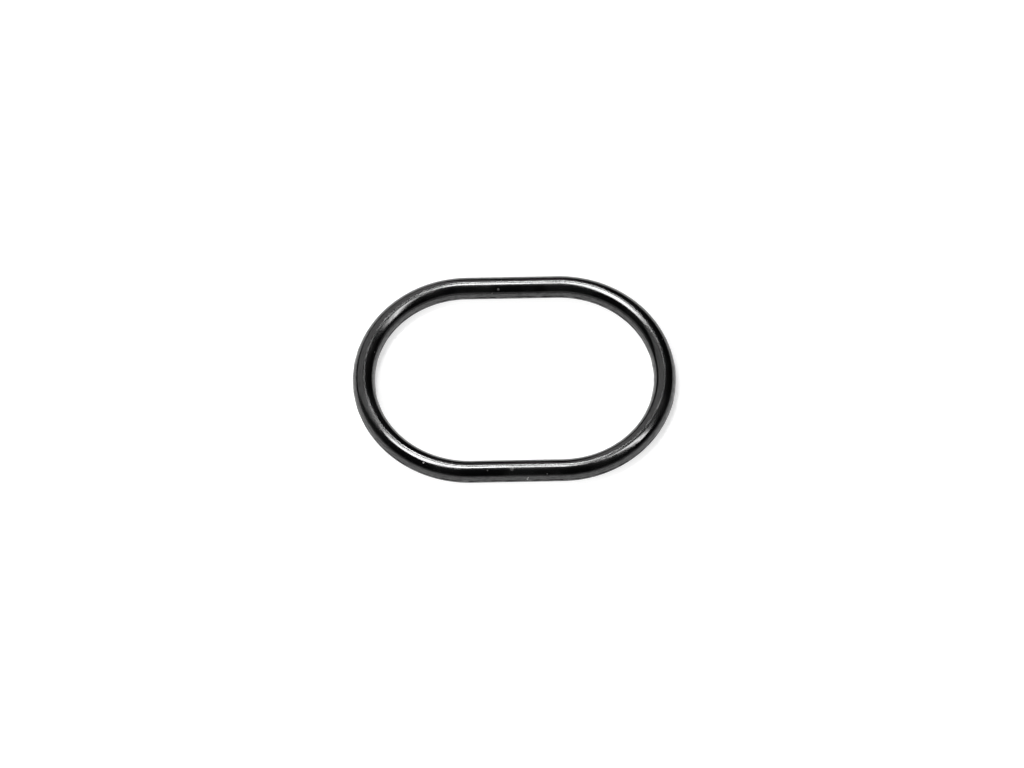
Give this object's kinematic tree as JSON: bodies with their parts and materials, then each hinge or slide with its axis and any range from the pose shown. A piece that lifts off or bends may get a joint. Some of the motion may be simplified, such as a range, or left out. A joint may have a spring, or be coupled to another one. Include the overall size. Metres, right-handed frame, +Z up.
{
  "type": "sealing ring",
  "caption": "Oval sealing ring of black rubber: an endless round cord with half-round ends and straight sides, for the groove round an oval port.",
  "frame": {"origin": "middle of the oval, on the plane that the ring lies on", "axes": "+X along the straight sides, +Y across the oval from straight side to straight side, +Z up, out of the groove"},
  "size_m": [0.0586, 0.0422, 0.004],
  "materials": {
    "moulded_rubber": "black, smooth from a polished mould, glossy with a thin oily sheen and a few specks of dust"
  },
  "bodies": {
    "root": {"sealing_ring": "moulded_rubber"}
  },
  "joints": []
}
